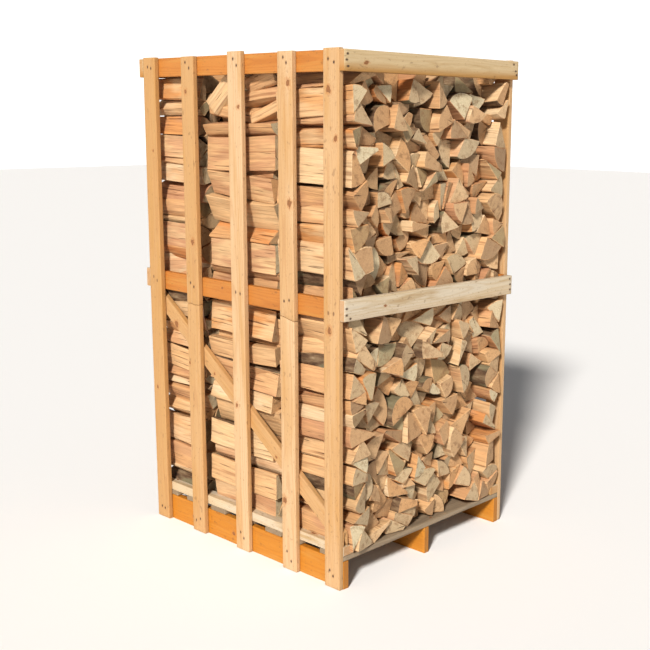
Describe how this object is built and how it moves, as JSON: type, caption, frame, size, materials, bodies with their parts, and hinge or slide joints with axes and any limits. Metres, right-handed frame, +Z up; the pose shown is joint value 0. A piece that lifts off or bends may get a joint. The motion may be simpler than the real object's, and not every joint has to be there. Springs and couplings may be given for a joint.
{
  "type": "firewood crate",
  "caption": "Tall slatted wooden pallet crate filled with stacked split firewood logs, open at the top and with log ends showing on two sides.",
  "frame": {"origin": "middle of the bounding box's underside, on the floor between the stringers", "axes": "+Z up along the slats, +X along the slatted panels towards the right side rails, +Y from the front panel to the back one"},
  "size_m": [1.202, 1.017, 2.006],
  "materials": {
    "slat": "sawn, fresh pale yellow, matt",
    "rail": "sawn, amber, matt",
    "side_rail": "sawn, pale grey, matt",
    "pallet": "sawn, orange yellow, matt",
    "deck": "sawn, weathered grey, matt",
    "log": "split and sawn, rough"
  },
  "bodies": {
    "root": {"slat_front_1": "slat", "slat_front_2_lower": "slat", "slat_front_2_upper": "slat", "slat_front_3": "slat", "slat_front_4_lower": "slat", "slat_front_4_upper": "slat", "slat_front_5": "slat", "slat_back_1": "slat", "slat_back_2": "slat", "slat_back_3": "slat", "slat_back_4": "slat", "slat_back_5": "slat", "rail_front_top": "rail", "rail_front_middle": "rail", "sill_front": "side_rail", "brace_front": "slat", "rail_back_top": "rail", "rail_back_middle": "rail", "sill_back": "side_rail", "brace_back": "slat", "rail_left_top": "side_rail", "rail_left_middle": "side_rail", "rail_right_top": "side_rail", "rail_right_middle": "side_rail", "stringer_front": "pallet", "stringer_middle": "pallet", "stringer_back": "pallet", "deck_board_1": "deck", "deck_board_2": "deck", "deck_board_3": "deck", "deck_board_4": "deck", "deck_board_5": "deck", "deck_board_6": "deck", "deck_board_7": "deck", "logs_left_1": "log", "logs_left_2": "log", "logs_left_3": "log", "logs_left_4": "log", "logs_left_5": "log", "logs_left_6": "log", "logs_left_7": "log", "logs_left_8": "log", "logs_middle_1": "log", "logs_middle_2": "log", "logs_middle_3": "log", "logs_middle_4": "log", "logs_middle_5": "log", "logs_middle_6": "log", "logs_middle_7": "log", "logs_middle_8": "log", "logs_right_1": "log", "logs_right_2": "log", "logs_right_3": "log", "logs_right_4": "log", "logs_right_5": "log", "logs_right_6": "log", "logs_right_7": "log", "logs_right_8": "log"}
  },
  "joints": []
}
